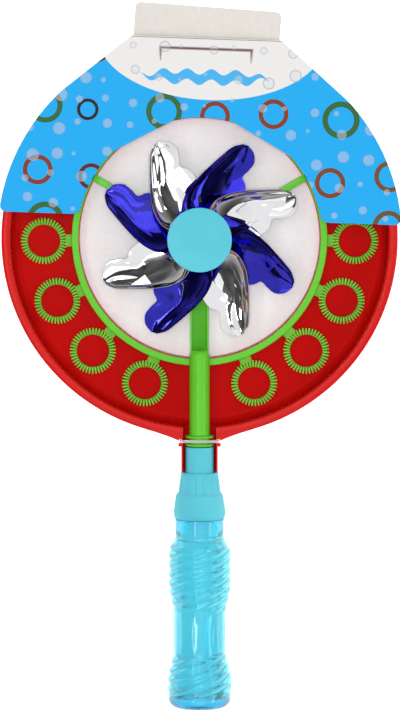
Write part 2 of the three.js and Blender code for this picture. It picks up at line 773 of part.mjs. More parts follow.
function rotorHub() {
  const plate = upright(HUB_PLATE_RADIUS, hubBase, earTop, BOSS_SIDES);
  const barrel = upright(HUB_BARREL_RADIUS, hubBase, capDiscBase - GAP);
  const arms = [];
  for (let index = 0; index < 2 * BLADE_PAIRS; index++) {
    const place = polar(EAR_PLACE_RADIUS, bladeAngle(index) - EAR_LAG);
    const ear = upright(EAR_RADIUS, hubBase, earTop, EAR_SIDES);
    const peg = upright(PEG_RADIUS, hubBase, earTop + PEG_HEIGHT, PEG_SIDES);
    arms.push(ear.translate(place.x, place.y, 0), peg.translate(place.x, place.y, 0));
  }
  const pocketBase = axleTop - AXLE_HEAD - GAP;
  const pocket = upright(HUB_POCKET_RADIUS, pocketBase, capDiscBase + GAP);
  const bore = upright(AXLE_RADIUS + AXLE_CLEARANCE, hubBase - GAP, capDiscBase);
  return cut(joined(plate, barrel, ...arms), pocket, bore);
}

function rotorCap() {
  const plugRadius = HUB_POCKET_RADIUS - GAP;
  const profile = [
    [0, axleTop + GAP],
    [plugRadius, axleTop + GAP],
    [plugRadius, capDiscBase],
    [CAP_DISC_RADIUS, capDiscBase],
    [CAP_DISC_RADIUS, capDiscBase + CAP_DISC - CAP_DISC_EDGE],
    [CAP_DISC_RADIUS - CAP_DISC_EDGE, capDiscBase + CAP_DISC],
    [0, capDiscBase + CAP_DISC],
  ];
  return turnedUpright(profile, DISC_SIDES);
}

function planCurve(points) {
  return new THREE.SplineCurve(points.map(([x, y]) => new THREE.Vector2(x, y)));
}

// A point on a blade's middle surface: out runs from hub to tip, over from low edge to high edge.
function bladePoint(low, high, out, over) {
  const bend = over * BLADE_CURL;
  const across = Math.sin(bend) / Math.sin(BLADE_CURL);
  const lift = (1 - Math.cos(bend)) / (1 - Math.cos(BLADE_CURL));
  const plan = low.getPoint(out).lerp(high.getPoint(out), across);
  const rise = BLADE_RISE + (BLADE_TIP_RISE - BLADE_RISE) * out;
  return new THREE.Vector3(plan.x, plan.y, bladeBase + rise * lift);
}

function bladeNormal(low, high, out, over) {
  const step = 0.01;
  const outLow = Math.max(out - step, 0);
  const outHigh = Math.min(out + step, 1);
  const overLow = Math.max(over - step, 0);
  const overHigh = Math.min(over + step, 1);
  const along = bladePoint(low, high, outHigh, over).sub(bladePoint(low, high, outLow, over));
  const across = bladePoint(low, high, out, overHigh).sub(bladePoint(low, high, out, overLow));
  return along.cross(across).normalize();
}

function foilBlade() {
  const low = planCurve(BLADE_LOW_EDGE);
  const high = planCurve(BLADE_HIGH_EDGE);
  const positions = [];
  const faces = [];
  const width = BLADE_COLUMNS + 1;
  const sheet = (BLADE_ROWS + 1) * width;
  for (const face of [0.5, -0.5]) {
    for (let row = 0; row <= BLADE_ROWS; row++) {
      for (let column = 0; column <= BLADE_COLUMNS; column++) {
        const out = row / BLADE_ROWS;
        const over = column / BLADE_COLUMNS;
        const normal = bladeNormal(low, high, out, over);
        const point = bladePoint(low, high, out, over).addScaledVector(normal, face * BLADE_SHEET);
        positions.push(point.x, point.y, point.z);
      }
    }
  }
  const quad = (a, b, c, d) => faces.push(a, b, c, a, c, d);
  for (let row = 0; row < BLADE_ROWS; row++) {
    for (let column = 0; column < BLADE_COLUMNS; column++) {
      const a = row * width + column;
      const b = a + width;
      quad(a, b, b + 1, a + 1);
      quad(sheet + a, sheet + a + 1, sheet + b + 1, sheet + b);
    }
    const low0 = row * width;
    const high0 = low0 + BLADE_COLUMNS;
    quad(low0, low0 + sheet, low0 + width + sheet, low0 + width);
    quad(high0, high0 + width, high0 + width + sheet, high0 + sheet);
  }
  const tip = BLADE_ROWS * width;
  for (let column = 0; column < BLADE_COLUMNS; column++) {
    quad(column, column + 1, column + 1 + sheet, column + sheet);
    quad(tip + column, tip + column + sheet, tip + column + 1 + sheet, tip + column + 1);
  }
  const geometry = new THREE.BufferGeometry();
  geometry.setAttribute("position", new THREE.Float32BufferAttribute(positions, 3));
  geometry.setIndex(faces);
  const place = polar(EAR_PLACE_RADIUS, -EAR_LAG);
  const pegHole = upright(PEG_RADIUS + 2 * GAP, earTop, earTop + 3 * PEG_HEIGHT, PEG_SIDES);
  return cut(geometry, pegHole.translate(place.x, place.y, 0));
}

// Materials
function material(color, roughness, metalness = 0, opacity = 1) {
  const settings = { color, roughness, metalness, opacity, transparent: opacity < 1 };
  return new THREE.MeshStandardMaterial(settings);
}

const RED = material("#bd1a12", 0.35);
const GREEN = material("#6ccb38", 0.4);
const PALE_BLUE = material("#66cbe0", 0.5);
const BLUE_FOIL = material("#1d1fb0", 0.12, 1);
const SILVER_FOIL = material("#e6e6ea", 0.06, 1);
const STEEL = material("#b8babd", 0.3, 1);
const SEAL = material("#f2f2ee", 0.8);
const CLEAR = material("#f4f4f2", 0.2, 0, 0.4);
const BOTTLE_BLUE = material("#59cdea", 0.1, 0, 0.5);
const SOLUTION = material("#7fdcf2", 0.05, 0, 0.5);
const PRINTED_CARD = material("#3fb0ee", 0.6);
const PALE_CARD = material("#e4e1de", 0.7);

// Assembly
const windmill = new THREE.Group();

function put(name, geometry, look, parent = windmill) {
  const mesh = new THREE.Mesh(geometry, look);
  mesh.name = name;
  parent.add(mesh);
  return mesh;
}

put("tray", tray(), RED);
put("wand_frame", wandFrame(), GREEN);
put("retaining_strap", retainingStrap(), CLEAR);

const loopGeometry = bubbleLoop();
const loopStep = (TURN - 2 * LOOP_FIRST_ANGLE) / (LOOP_COUNT - 1);
for (let index = 0; index < LOOP_COUNT; index++) {
  const loop = put(`bubble_loop_${String(index + 1).padStart(2, "0")}`, loopGeometry, GREEN);
  loop.rotation.z = LOOP_FIRST_ANGLE + index * loopStep - Math.PI / 2;
}

put("handle_cap", handleCap(), PALE_BLUE);
put("cap_liner", capLiner(), SEAL);
put("bottle", bottle(), BOTTLE_BLUE);
put("bubble_solution", bubbleSolution(), SOLUTION);

put("rotor_axle", rotorAxle(), STEEL);
put("rotor_washer", rotorWasher(), SEAL);
put("rotor_hub", rotorHub(), PALE_BLUE);
put("rotor_cap", rotorCap(), PALE_BLUE);
const bladeGeometry = foilBlade();
for (let index = 0; index < BLADE_PAIRS; index++) {
  const blue = put(`foil_blade_blue_${index + 1}`, bladeGeometry, BLUE_FOIL);
  blue.rotation.z = bladeAngle(2 * index);
  const silver = put(`foil_blade_silver_${index + 1}`, bladeGeometry, SILVER_FOIL);
  silver.rotation.z = bladeAngle(2 * index + 1);
}

const card = new THREE.Group();
card.rotation.z = CARD_SKEW;
windmill.add(card);
put("card_front", cardFront(), PRINTED_CARD, card);
put("card_back", cardBack(), PALE_CARD, card);

// The origin is under the middle of the whole object.
windmill.updateMatrixWorld(true);
const bounds = new THREE.Box3().setFromObject(windmill, true);
const middle = bounds.getCenter(new THREE.Vector3());
windmill.position.set(-middle.x, -middle.y, -bounds.min.z);

export default windmill;
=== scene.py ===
"""Looks of the bubble windmill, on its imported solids.

Shapes are written in millimetres round the pinwheel's axis, x right, y towards the hang tab and
z up out of the front, and are carried into the row frame in metres when a piece is made.
"""

from math import cos, pi, radians, sin, sqrt, tan

import bmesh
import bpy
from mathutils import Matrix, Vector


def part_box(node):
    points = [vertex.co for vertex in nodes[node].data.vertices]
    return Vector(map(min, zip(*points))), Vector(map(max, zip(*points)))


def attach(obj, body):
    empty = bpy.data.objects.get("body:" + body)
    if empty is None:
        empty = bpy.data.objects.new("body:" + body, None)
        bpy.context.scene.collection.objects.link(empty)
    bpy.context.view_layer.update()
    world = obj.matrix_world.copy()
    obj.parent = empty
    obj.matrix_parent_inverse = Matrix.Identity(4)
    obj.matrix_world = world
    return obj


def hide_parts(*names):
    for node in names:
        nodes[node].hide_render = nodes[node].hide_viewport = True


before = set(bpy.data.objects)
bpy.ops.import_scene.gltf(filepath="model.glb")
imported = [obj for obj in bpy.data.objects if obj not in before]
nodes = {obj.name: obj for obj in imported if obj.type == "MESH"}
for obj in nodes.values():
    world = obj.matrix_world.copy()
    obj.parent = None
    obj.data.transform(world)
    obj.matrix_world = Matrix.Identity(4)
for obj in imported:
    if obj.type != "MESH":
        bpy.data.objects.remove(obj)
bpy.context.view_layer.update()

# Sizes shared with the solids
GAP = 0.3
TURN = 2 * pi
AXIS_HEIGHT = 20.1
TRAY_RADIUS = 122.5
TRAY_BASE = 0.9
TRAY_FLOOR = 5.5
RIM_TOP = 23.9
RIM_WIDTH = 5.6
RIM_DROP = 4
TRAY_WALL = 1.6
TRAY_LEAN = 0.5
TRAY_FOOT_RADIUS = 113
TRAY_HOLE_RADIUS = 74.6
INNER_WALL_TOP = 11.5
CRADLE_INNER = 10.2
CRADLE_OUTER = 11.3
CRADLE_END = -144.8
CRADLE_EAR = 1.9
CRADLE_EAR_LENGTH = 1.8
CRADLE_EAR_PLACE = 4.4
CRADLE_EAR_HEIGHT = 7
STRAP_THICKNESS = 0.8
STRAP_NEAR = -124.3
WAND_BASE = 5.8
RING_INNER = 75.1
RING_WEB_INNER = 76.7
RING_OUTER = 79.2
RING_TOP = 14.2
SPOKE_BASE = 11.8
SPOKE_WIDTH = 4.4
SPOKE_ANGLES = (radians(30), radians(150))
BAR_HALF = 5.7
BAR_FLANGE = 1.1
BAR_FLOOR = 1
BOSS_RADIUS = 9
BOSS_TOP = 15.4
STEM_RADIUS = 6.3
STEM_START = -68.8
STEM_NOSE = 4
COLLAR_PLACES = (-121.6, -126.6)
COLLAR_RADIUS = 9
COLLAR_THICKNESS = 2.2
PLUG_RADIUS = 5.6
PLUG_END = -148.8
LOOP_COUNT = 15
LOOP_FIRST_ANGLE = radians(20.6)
LOOP_PLACE_RADIUS = 96.7
LOOP_INNER = 10.1
LOOP_TIP = 14.4
LOOP_HEIGHT = 3.6
LOOP_TAB_WIDTH = 7.5
SLEEVE_TOP = -129.1
SLEEVE_RADIUS = 8.8
CONE_TOP = -145.0
CONE_TOP_RADIUS = 11.7
CONE_END_RADIUS = 13.2
SKIRT_TOP = -157.6
SKIRT_RADIUS = 16.3
CAP_RIBS = 14
CAP_END = -174.0
CAP_BULKHEAD = -151.1
SKIRT_ROOF = -161.6
BOTTLE_TOP = -174.3
BOTTLE_LENGTH = 117.9
BOTTLE_END = BOTTLE_TOP - BOTTLE_LENGTH
BOTTLE_WALL = 1
FINISH_TOP = -152.7
FINISH_RADIUS = 10.2
AXLE_BORE = 1.7
HUB_BASE = 17.0
HUB_PLATE_RADIUS = 18
HUB_BARREL_RADIUS = 7.5
HUB_POCKET_RADIUS = 4.6
EAR_TOP = 18.6
EAR_RADIUS = 5
PEG_RADIUS = 1.2
PEG_HEIGHT = 1.3
BLADE_BASE = 19.1
CAP_PLUG_BASE = 29.9
CAP_DISC_BASE = 32.0
CAP_DISC = 2.2
CAP_DISC_RADIUS = 19.9
CAP_DISC_EDGE = 0.7
CARD_SKEW = radians(-2)
TONGUE_WIDTH = 56
TONGUE_TOP = 117.3
TONGUE_FOOT = 109.3
TONGUE_SLIT = 0.8

# Sizes of fine forms that are made here alone
RIM_CROWN = 1.2
FILLET_WIDTH = 5
FILLET_HEIGHT = 6
FAIRING_REACH = 20.4
FAIRING_BEND = 8.6
FAIRING_DROP = 2.6
BASE_CORNER = 5.5
TONGUE_LINE = 0.3

# Place of the pinwheel's axis in the frame
cap_low, cap_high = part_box("rotor_cap")
AXIS = (cap_low + cap_high) / 2
TO_ROW = Matrix.Translation((AXIS.x, AXIS.y, 0)) @ Matrix.Scale(0.001, 4)


# Outlines and skins
def mixed(first, second, share):
    return first + (second - first) * share


def smoothstep(value, low, high):
    share = min(max((value - low) / (high - low), 0), 1)
    return share * share * (3 - 2 * share)


def sweep(start, bend, end, steps):
    """Points of a curve that sets out towards a bend and comes in from it."""
    shares = [step / steps for step in range(steps + 1)]
    return [mixed(mixed(start, bend, share), mixed(bend, end, share), share) for share in shares]


def rounded(corners, radius, steps=4):
    """A closed outline with its corners rounded, by less where a side is short."""
    corners = [Vector(corner) for corner in corners]
    points = []
    for index, corner in enumerate(corners):
        before = corners[index - 1] - corner
        after = corners[(index + 1) % len(corners)] - corner
        reach = radius / tan(before.angle(after) / 2)
        reach = min(reach, 0.45 * before.length, 0.45 * after.length)
        start = corner + before.normalized() * reach
        end = corner + after.normalized() * reach
        points += sweep(start, corner, end, steps)
    return points


def skin(rings, closed=False):
    """Points and faces of a skin through rings of equally many points."""
    size = len(rings[0])
    points = [point for ring in rings for point in ring]
    pairs = [(row, row + 1) for row in range(len(rings) - 1)]
    if closed:
        pairs.append((len(rings) - 1, 0))
    faces = []
    for here, there in pairs:
        for side in range(size):
            after = (side + 1) % size
            faces.append(
                (here * size + side, here * size + after, there * size + after, there * size + side)
            )
    return points, faces


def turned(profile, sides, centre=(0, 0)):
    """A profile of radius and height turned round an upright axis."""
    rings = []
    for radius, height in profile:
        angles = [TURN * side / sides for side in range(sides)]
        rings.append([(centre[0] + radius * cos(a), centre[1] + radius * sin(a), height) for a in angles])
    return skin(rings, closed=True)


def washer(inner, outer, low, high, edge):
    """The rounded profile of a flat ring, for turning."""
    return rounded([(inner, low), (outer, low), (outer, high), (inner, high)], edge, 3)


def ring_along(place, radius, sides):
    """A ring on the wand's axis; its radius is a number or depends on the angle."""
    points = []
    for side in range(sides):
        angle = TURN * side / sides
        reach = radius(angle) if callable(radius) else radius
        points.append((reach * sin(angle), place, AXIS_HEIGHT + reach * cos(angle)))
    return points


def turned_along(profile, sides):
    """A closed skin of place and radius turned round the wand's axis."""
    return skin([ring_along(place, radius, sides) for place, radius in profile])


def prism(outline, low, high):
    """An outline of x and y raised from one height to another."""
    count = len(outline)
    points = [(x, y, low) for x, y in outline] + [(x, y, high) for x, y in outline]
    faces = [tuple(reversed(range(count))), tuple(range(count, 2 * count))]
    for side in range(count):
        after = (side + 1) % count
        faces.append((side, after, count + after, count + side))
    return points, faces


def soft_box(low, high, edge):
    """A box between two corners with its edges rounded."""
    shape = bmesh.new()
    bmesh.ops.create_cube(shape, size=1)
    size = Vector(high) - Vector(low)
    centre = (Vector(high) + Vector(low)) / 2
    shape.transform(Matrix.Translation(centre) @ Matrix.Diagonal((*size, 1)))
    bmesh.ops.bevel(shape, geom=shape.edges[:], offset=edge, segments=2, profile=0.5, affect="EDGES")
    shape.verts.index_update()
    points = [vertex.co.copy() for vertex in shape.verts]
    faces = [tuple(vertex.index for vertex in face.verts) for face in shape.faces]
    shape.free()
    return points, faces


def moved(part, matrix):
    points, faces = part
    return [matrix @ Vector(point) for point in points], faces


def turned_about(part, angle):
    return moved(part, Matrix.Rotation(angle, 4, "Z"))


# Pieces
def mesh_of(name, parts, merge=0.01):
    """One mesh in the row frame from several parts in millimetres."""
    shape = bmesh.new()
    for points, faces in parts:
        corners = [shape.verts.new(point) for point in points]
        for face in faces:
            shape.faces.new([corners[index] for index in face])
    bmesh.ops.remove_doubles(shape, verts=shape.verts[:], dist=merge)
    bmesh.ops.recalc_face_normals(shape, faces=shape.faces[:])
    shape.transform(TO_ROW)
    mesh = bpy.data.meshes.new(name)
    shape.to_mesh(mesh)
    shape.free()
    return mesh


def object_of(name, mesh):
    thing = bpy.data.objects.new(name, mesh)
    bpy.context.scene.collection.objects.link(thing)
    return thing


def smooth(mesh, angle=32):
    mesh.shade_smooth()
    mesh.set_sharp_from_angle(angle=radians(angle))


def stand_for(thing, node, body, look):
    """The piece takes a node's place, rides on its body and gets its look."""
    thing.data.materials.clear()
    thing.data.materials.append(look)
    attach(thing, body)
    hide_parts(node)


def combined(body, other, operation):
    """The body's mesh after another mesh is joined to it or cut from it."""
    change = body.modifiers.new(operation, "BOOLEAN")
    change.object = other
    change.operation = operation
    change.solver = "EXACT"
    bpy.context.view_layer.update()
    depsgraph = bpy.context.evaluated_depsgraph_get()
    result = bpy.data.meshes.new_from_object(body.evaluated_get(depsgraph))
    body.modifiers.clear()
    body.data = result
    bpy.data.objects.remove(other)


# Materials
def srgb(red, green, blue):
    """A colour of 0 to 255 as the linear colour of a shader socket."""
    shares = [value / 255 for value in (red, green, blue)]
    linear = [s / 12.92 if s <= 0.04045 else ((s + 0.055) / 1.055) ** 2.4 for s in shares]
    return (*linear, 1)


class Look:
    """A material with its principled shader and a short way to add and link nodes."""

    def __init__(self, name, **sockets):
        self.material = bpy.data.materials.new(name)
        self.material.use_nodes = True
        self.tree = self.material.node_tree
        self.shader = self.tree.nodes["Principled BSDF"]
        for socket, value in sockets.items():
            self.shader.inputs[socket.replace("_", " ")].default_value = value
        self.coords = self.add("ShaderNodeTexCoord").outputs["Object"]

    def add(self, kind, inputs=None, **settings):
        node = self.tree.nodes.new(kind)
        for name, value in settings.items():
            setattr(node, name, value)
        for name, value in (inputs or {}).items():
            self.put(value, node.inputs[name])
        return node

    def put(self, value, socket):
        if isinstance(value, bpy.types.NodeSocket):
            self.tree.links.new(value, socket)
        else:
            socket.default_value = value

    def set(self, socket, value):
        self.put(value, self.shader.inputs[socket])

    def noise(self, scale, detail=3.0):
        inputs = {"Vector": self.coords, "Scale": scale, "Detail": detail}
        return self.add("ShaderNodeTexNoise", inputs).outputs["Fac"]

    def ramp(self, factor, *stops):
        node = self.add("ShaderNodeValToRGB", {"Fac": factor})
        elements = node.color_ramp.elements
        while len(elements) < len(stops):
            elements.new(0.5)
        for element, (position, color) in zip(elements, stops):
            element.position = position
            element.color = color
        return node.outputs["Color"]

    def math(self, operation, first, second=0.0):
        node = self.add("ShaderNodeMath", operation=operation)
        self.put(first, node.inputs[0])
        self.put(second, node.inputs[1])
        return node.outputs["Value"]

    def span(self, value, low, high, to_low=0.0, to_high=1.0):
        inputs = {"Value": value, "From Min": low, "From Max": high, "To Min": to_low, "To Max": to_high}
        return self.add("ShaderNodeMapRange", inputs).outputs["Result"]

    def mix(self, factor, first, second):
        node = self.add("ShaderNodeMix", data_type="RGBA")
        self.put(factor, node.inputs[0])
        self.put(first, node.inputs[6])
        self.put(second, node.inputs[7])
        return node.outputs[2]

    def bump(self, height, distance, **inputs):
        inputs |= {"Height": height, "Distance": distance}
        self.set("Normal", self.add("ShaderNodeBump", inputs).outputs["Normal"])

    def vector(self, operation, first, second=None, output="Vector", **inputs):
        given = {0: first, **inputs}
        if second is not None:
            given[1] = second
        return self.add("ShaderNodeVectorMath", given, operation=operation).outputs[output]


def moulded(name, dark, light, roughness, gloss):
    """Moulded plastic: a faint drift of colour and gloss, and a fine grain."""
    look = Look(name, IOR=1.49, Specular_IOR_Level=gloss)
    drift = look.noise(28.0)
    look.set("Base Color", look.ramp(drift, (0.35, dark), (0.65, light)))
    return grained(look, roughness)


def moulded_with_painted_shade(name, painted_shade_color, light, roughness, gloss, heights):
    """Moulded plastic with painted shade: darker and duller towards the lower of two heights in
    millimetres.
    """
    look = Look(name, IOR=1.49)
    height = look.add("ShaderNodeSeparateXYZ", {"Vector": look.coords}).outputs["Z"]
    low, high = heights
    level = look.span(height, low / 1000, high / 1000)
    drift = look.span(look.noise(28.0), 0.35, 0.65, -0.08, 0.08)
    # Painted shade: the colour runs from the shaded colour at the low height to the plastic's own colour at
    # the high one
    look.set("Base Color", look.ramp(look.math("ADD", level, drift), (0.0, painted_shade_color), (1.0, light)))
    look.set("Specular IOR Level", look.span(level, 0.0, 1.0, *gloss))
    return grained(look, roughness)


def grained(look, roughness):
    look.set("Roughness", look.span(look.noise(420.0), 0.3, 0.7, roughness - 0.06, roughness + 0.06))
    look.bump(look.noise(1500.0), 0.00003)
    return look.material


def film(name, dark, light, roughness):
    """Metallised film, creased into flat facets that run along each blade."""
    look = Look(name, Metallic=1.0, Coat_Weight=0.3, Coat_Roughness=0.03)
    look.set("Base Color", look.ramp(look.noise(40.0), (0.4, dark), (0.6, light)))
    look.set("Roughness", look.span(look.noise(90.0), 0.35, 0.65, roughness, roughness + 0.03))
    plan = look.add("ShaderNodeUVMap", uv_map="plan").outputs["UV"]
    facet_turn = (0, 0, 0.25)
    facet_scale = (0.045, 0.11, 1)
    inputs = {"Vector": plan, "Rotation": facet_turn, "Scale": facet_scale}
    stretched = look.add("ShaderNodeMapping", inputs).outputs["Vector"]
    inputs = {"Vector": stretched, "Scale": 1.0, "Randomness": 1.0}
    facets = look.add("ShaderNodeTexVoronoi", inputs, voronoi_dimensions="2D").outputs["Color"]
    tilt = look.vector("SCALE", look.vector("SUBTRACT", facets, (0.5, 0.5, 0.5)), Scale=0.2)
    plain = look.add("ShaderNodeNewGeometry").outputs["Normal"]
    creased = look.vector("NORMALIZE", look.vector("ADD", plain, tilt))
    look.bump(look.noise(55.0, 1.0), 0.0004, Strength=0.35, Normal=creased)
    return look.material


def metal(name, dark, light, roughness):
    """Drawn steel with fine streaks of gloss."""
    look = Look(name, Metallic=1.0)
    look.set("Base Color", look.ramp(look.noise(40.0), (0.4, dark), (0.6, light)))
    look.set("Roughness", look.span(look.noise(600.0), 0.35, 0.65, roughness, roughness + 0.1))
    return look.material


def clear(name, dark, light, roughness, transmission, ior):
    """Tinted clear plastic or liquid."""
    look = Look(name, IOR=ior, Transmission_Weight=transmission)
    look.set("Base Color", look.ramp(look.noise(30.0), (0.35, dark), (0.65, light)))
    look.set("Roughness", look.span(look.noise(160.0), 0.3, 0.7, roughness, roughness + 0.06))
    return look.material


def bottle_plastic():
    """Clear blue plastic that darkens with its depth, and more at the bottle's thick base."""
    look = Look("blue_bottle", IOR=1.47, Transmission_Weight=0.78)
    tint = look.ramp(look.noise(30.0), (0.35, srgb(150, 245, 255)), (0.65, srgb(162, 249, 255)))
    y = look.add("ShaderNodeSeparateXYZ", {"Vector": look.coords}).outputs["Y"]
    base = AXIS.y + BOTTLE_END / 1000
    thick = look.span(y, base, base + BASE_CORNER / 1000, 1.0, 0.0)
    look.set("Base Color", look.mix(thick, tint, srgb(44, 164, 212)))
    look.set("Roughness", look.span(look.noise(160.0), 0.3, 0.7, 0.03, 0.08))
    depth = look.add("ShaderNodeVolumeAbsorption", {"Color": (0.0, 0.93, 0.985, 1), "Density": 450.0})
    look.put(depth.outputs["Volume"], look.tree.nodes["Material Output"].inputs["Volume"])
    return look.material


def board(name, dark, light):
    """Uncoated pale card with a fibre grain."""
    look = Look(name, Roughness=0.75)
    look.set("Base Color", look.ramp(look.noise(350.0, 6.0), (0.3, dark), (0.7, light)))
    look.bump(look.noise(1800.0, 4.0), 0.00004)
    return look.material


def card_with_painted_light():
    """Uncoated card whose panel is painted lighter than its hang tab, against the shade it lies in."""
    look = Look("pale_card", Roughness=0.75)
    fibre = look.noise(350.0, 6.0)
    # Painted light: the panel's colour is lifted above the tab's to make up for the shade it lies in under
    # the pinwheel
    panel = look.ramp(fibre, (0.3, srgb(240, 237, 237)), (0.7, srgb(246, 243, 243)))
    tab = look.ramp(fibre, (0.3, srgb(218, 214, 208)), (0.7, srgb(224, 220, 214)))
    y = look.add("ShaderNodeSeparateXYZ", {"Vector": look.coords}).outputs["Y"]
    fold_place = AXIS.y + TRAY_RADIUS / 1000
    look.set("Base Color", look.mix(look.span(y, fold_place - 0.01, fold_place), panel, tab))
    look.bump(look.noise(1800.0, 4.0), 0.00004)
    return look.material


# The card's pale head is an ellipse: its centre, and one over its half-width and half-height
HEAD_CENTRE = (3, 124, 0)
HEAD_SCALE = (1 / 70, 1 / 38, 0)


def printed_board():
    """Printed card: a white head, a sky-blue field with bubbles, hoops, a wavy line and a painted slit
    shadow.
    """
    look = Look("printed_card", IOR=1.45, Specular_IOR_Level=0.2)
    mapping = look.add("ShaderNodeMapping", {"Vector": look.vector("SUBTRACT", look.coords, AXIS)})
    mapping.inputs["Rotation"].default_value = (0, 0, -CARD_SKEW)
    mapping.inputs["Scale"].default_value = (1000, 1000, 1000)
    place = mapping.outputs["Vector"]
    axes = look.add("ShaderNodeSeparateXYZ", {"Vector": place})
    x, y = axes.outputs["X"], axes.outputs["Y"]

    from_head = look.vector("MULTIPLY", look.vector("SUBTRACT", place, HEAD_CENTRE), HEAD_SCALE)
    flat = look.vector("MULTIPLY", from_head, (1, 1, 0))
    head = look.math("LESS_THAN", look.vector("LENGTH", flat, output="Value"), 1.0)
    paper = look.mix(head, srgb(34, 170, 238), srgb(232, 230, 228))

    hoop, hoop_color = hoops(look, place)
    below = look.math("SUBTRACT", 1.0, head)
    print_color = look.mix(look.math("MULTIPLY", hoop, below), paper, hoop_color)

    wave_rate = 0.42
    wave_height = 1.8
    line_place = 100.0
    wave = look.math("MULTIPLY", look.math("SINE", look.math("MULTIPLY", x, wave_rate)), wave_height)
    off_line = look.math("ABSOLUTE", look.math("SUBTRACT", look.math("SUBTRACT", y, line_place), wave))
    line = look.math("LESS_THAN", off_line, look.span(look.math("ABSOLUTE", x), 24.0, 40.0, 3.2, 0.0))
    print_color = look.mix(line, print_color, srgb(74, 178, 236))

    # Painted shadow: a dark brown band along the slit round the tongue, fading down its legs, stands for
    # the shade in the cut
    beside = look.math("SUBTRACT", look.math("ABSOLUTE", x), TONGUE_WIDTH / 2)
    from_foot = look.math("ABSOLUTE", look.math("SUBTRACT", y, TONGUE_FOOT))
    above = look.math("SUBTRACT", from_foot, TONGUE_TOP - TONGUE_FOOT)
    from_slit = look.math("ABSOLUTE", look.math("MAXIMUM", beside, above))
    shade = look.span(from_slit, 0.4, 1.3, 0.85, 0.0)
    shade = look.math("MULTIPLY", shade, look.span(y, TONGUE_FOOT, TONGUE_TOP))
    print_color = look.mix(shade, print_color, srgb(52, 36, 32))

    body, rim, shine = bubbles(look, place)
    print_color = look.mix(look.math("MULTIPLY", body, 0.35), print_color, srgb(196, 214, 218))
    print_color = look.mix(look.math("MULTIPLY", rim, 0.55), print_color, srgb(176, 150, 176))
    print_color = look.mix(look.math("MULTIPLY", shine, 0.8), print_color, srgb(255, 255, 255))
    look.set("Base Color", print_color)
    look.set("Roughness", look.span(look.noise(300.0), 0.3, 0.7, 0.4, 0.5))
    look.bump(look.noise(1400.0), 0.00002)
    return look.material


def cells(look, place, size, randomness):
    """Scattered centres: the distance to the nearest, a random share, and the way from it."""
    scaled = look.vector("SCALE", place, Scale=1 / size)
    inputs = {"Vector": scaled, "Scale": 1.0, "Randomness": randomness}
    node = look.add("ShaderNodeTexVoronoi", inputs, voronoi_dimensions="2D")
    chance = look.add("ShaderNodeSeparateColor", {"Color": node.outputs["Color"]}).outputs["Red"]
    return node.outputs["Distance"], chance, look.vector("SUBTRACT", scaled, node.outputs["Position"])


def bubbles(look, place):
    """Masks of small soap bubbles: their body, their rim and their highlight."""
    distance, chance, away = cells(look, place, 16.0, 0.5)
    radius = look.span(chance, 0.0, 1.0, 0.06, 0.25)
    body = look.math("LESS_THAN", distance, radius)
    core = look.math("LESS_THAN", distance, look.math("MULTIPLY", radius, 0.8))
    rim = look.math("SUBTRACT", body, core)
    glint = look.vector("ADD", away, (0.08, -0.08, 0))
    near = look.math("LESS_THAN", look.vector("LENGTH", glint, output="Value"), 0.05)
    return body, rim, look.math("MULTIPLY", near, core)


def hoops(look, place):
    """A mask of scattered hoops and the colour of each."""
    distance, chance, _ = cells(look, place, 36.0, 0.35)
    radius = look.span(chance, 0.0, 1.0, 0.18, 0.32)
    outer = look.math("LESS_THAN", distance, radius)
    inner = look.math("LESS_THAN", distance, look.math("MULTIPLY", radius, 0.7))
    dark, brick, green = srgb(52, 36, 40), srgb(140, 52, 36), srgb(58, 104, 60)
    color = look.ramp(chance, (0.2, dark), (0.5, brick), (0.8, green))
    return look.math("SUBTRACT", outer, inner), color


# Painted shade: the tray's floor and lower walls, the wand's lower sides and bar floor, and the loop cores
# between the fins
RED = moulded_with_painted_shade("red_plastic", srgb(184, 9, 7), srgb(208, 18, 14), 0.24, (0.04, 0.3), (5.2, 12.5))
GREEN = moulded_with_painted_shade("green_plastic", srgb(52, 138, 20), srgb(100, 201, 44), 0.24, (0.2, 0.4), (12.0, 14.2))
RIB_GREEN = moulded_with_painted_shade("rib_plastic", srgb(58, 142, 14), srgb(134, 206, 66), 0.3, (0.1, 0.3), (6.6, 9.3))
PALE_BLUE = moulded("pale_blue_plastic", srgb(88, 194, 213), srgb(98, 202, 219), 0.55, 0.2)
BLUE_FILM = film("blue_foil", srgb(40, 36, 170), srgb(50, 48, 188), 0.03)
SILVER_FILM = film("silver_foil", srgb(236, 236, 238), srgb(248, 248, 250), 0.01)
BOTTLE_BLUE = bottle_plastic()
SOLUTION = clear("solution", srgb(206, 244, 253), srgb(216, 248, 254), 0.0, 1.0, 1.33)
CLEAR = clear("clear_plastic", srgb(226, 222, 220), srgb(238, 234, 232), 0.2, 0.6, 1.46)
SEAL = board("seal", srgb(226, 226, 220), srgb(240, 240, 234))
STEEL = metal("steel", srgb(170, 172, 176), srgb(188, 190, 194), 0.25)
PRINTED_CARD = printed_board()
PALE_CARD = card_with_painted_light()


